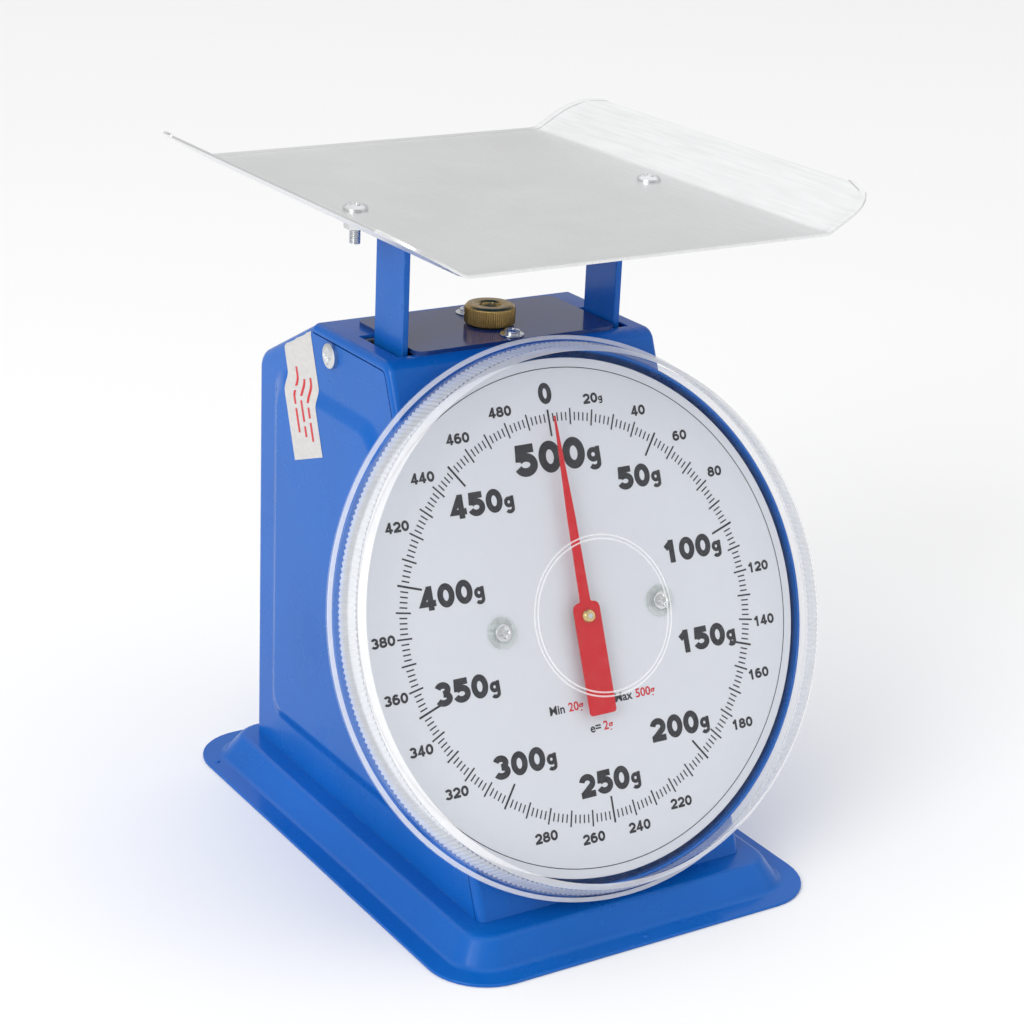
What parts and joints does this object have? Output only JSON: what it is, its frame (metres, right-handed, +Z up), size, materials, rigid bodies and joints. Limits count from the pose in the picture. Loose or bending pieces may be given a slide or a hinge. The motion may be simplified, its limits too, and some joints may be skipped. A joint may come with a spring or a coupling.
{
  "type": "mechanical dial platform scale",
  "caption": "Mechanical spring scale: a sheet pan on two legs presses down, and a rack and pinion turn a red pointer over a round leaning dial on a pressed-metal case.",
  "frame": {"origin": "centre of the base flange's underside, on the table", "axes": "+X right as seen from the dial side, +Y towards the back, +Z up"},
  "size_m": [0.2, 0.218, 0.2558],
  "materials": {
    "blue_paint": "glossy baked enamel on pressed sheet",
    "dark_blue_paint": "satin enamel",
    "pan_sheet": "satin rolled sheet",
    "aged_brass": "dull knurled brass",
    "brass": "turned",
    "dial_white": "printed white enamel",
    "pointer_red": "red enamel",
    "clear_cover": "clear moulded plastic",
    "clear_washer": "clear moulded plastic",
    "seal_paper": "printed paper label",
    "spring_wire": "plated spring wire",
    "zinc_steel": "bright zinc plate"
  },
  "bodies": {
    "root": {"base_plate": "blue_paint", "base_screws": "zinc_steel", "base_nuts": "zinc_steel", "chassis": "zinc_steel", "front_case": "blue_paint", "rear_cover": "blue_paint", "cover_screws": "zinc_steel", "top_plate": "dark_blue_paint", "top_plate_screws": "zinc_steel", "top_plate_washers": "zinc_steel", "upper_shaft": "zinc_steel", "lower_shaft": "zinc_steel", "shaft_clips": "zinc_steel", "movement_front_plate": "zinc_steel", "movement_rear_plate": "zinc_steel", "movement_pillars": "brass", "movement_screws": "zinc_steel", "front_bush": "brass", "rear_bush": "brass", "dial_pan": "blue_paint", "dial_posts": "brass", "dial_plate": "dial_white", "dial_screws": "zinc_steel", "dial_washers": "clear_washer", "lens": "clear_cover", "seal_strip": "seal_paper"},
    "platform": {"leg_left": "blue_paint", "leg_right": "blue_paint", "crossbar": "zinc_steel", "crossbar_rivets": "zinc_steel", "leg_screws": "zinc_steel", "support_plate": "blue_paint", "pan": "pan_sheet", "pan_screws": "zinc_steel", "pan_washers": "zinc_steel", "pan_nuts": "zinc_steel", "upper_pins": "zinc_steel", "lower_pins": "zinc_steel", "rack_arm": "zinc_steel", "rack": "brass", "rack_screws": "zinc_steel", "spring_left": "spring_wire", "spring_right": "spring_wire"},
    "pointer_set": {"arbor": "zinc_steel", "pinion": "brass", "pointer_hub": "brass", "pointer": "pointer_red", "pointer_nut": "brass"},
    "upper_check_link": {"upper_link": "zinc_steel"},
    "lower_check_link": {"lower_link": "zinc_steel"},
    "knob": {"zero_knob": "aged_brass"},
    "hanger": {"hanger_stud": "zinc_steel", "spring_hanger": "zinc_steel", "hanger_nut": "zinc_steel"}
  },
  "joints": [
    {"name": "platform_slide", "type": "slide", "parent": "root", "child": "platform", "axis": [0, 0, -1], "range_m": [0, 0.017], "stiffness_N_per_m": 290, "springref_m": -0.025, "deforming": ["spring_left", "spring_right"]},
    {"name": "pointer_turn", "type": "hinge", "parent": "root", "child": "pointer_set", "pos_m": [0, -0.05451, 0.10394], "axis": [0, 0.9238, -0.3828], "range_deg": [0, 360]},
    {"name": "upper_link_turn", "type": "hinge", "parent": "root", "child": "upper_check_link", "pos_m": [0, 0.06368, 0.15], "axis": [1, 0, 0], "range_deg": [0, 17.47]},
    {"name": "lower_link_turn", "type": "hinge", "parent": "root", "child": "lower_check_link", "pos_m": [0, 0.06368, 0.078], "axis": [1, 0, 0], "range_deg": [0, 17.47]},
    {"name": "zero_knob_turn", "type": "hinge", "parent": "root", "child": "knob", "pos_m": [0, 0.0145, 0.193], "axis": [0, 0, 1], "range_deg": [-360, 360]},
    {"name": "hanger_slide", "type": "slide", "parent": "root", "child": "hanger", "axis": [0, 0, 1], "range_m": [-0.001, 0.001]}
  ],
  "couplings": [
    {"joint": "pointer_turn", "follows": "platform_slide", "rad_per_m": 369.53},
    {"joint": "upper_link_turn", "follows": "platform_slide", "rad_per_m": 17.926},
    {"joint": "lower_link_turn", "follows": "platform_slide", "rad_per_m": 17.926},
    {"joint": "zero_knob_turn", "follows": "hanger_slide", "rad_per_m": -6283.2}
  ]
}
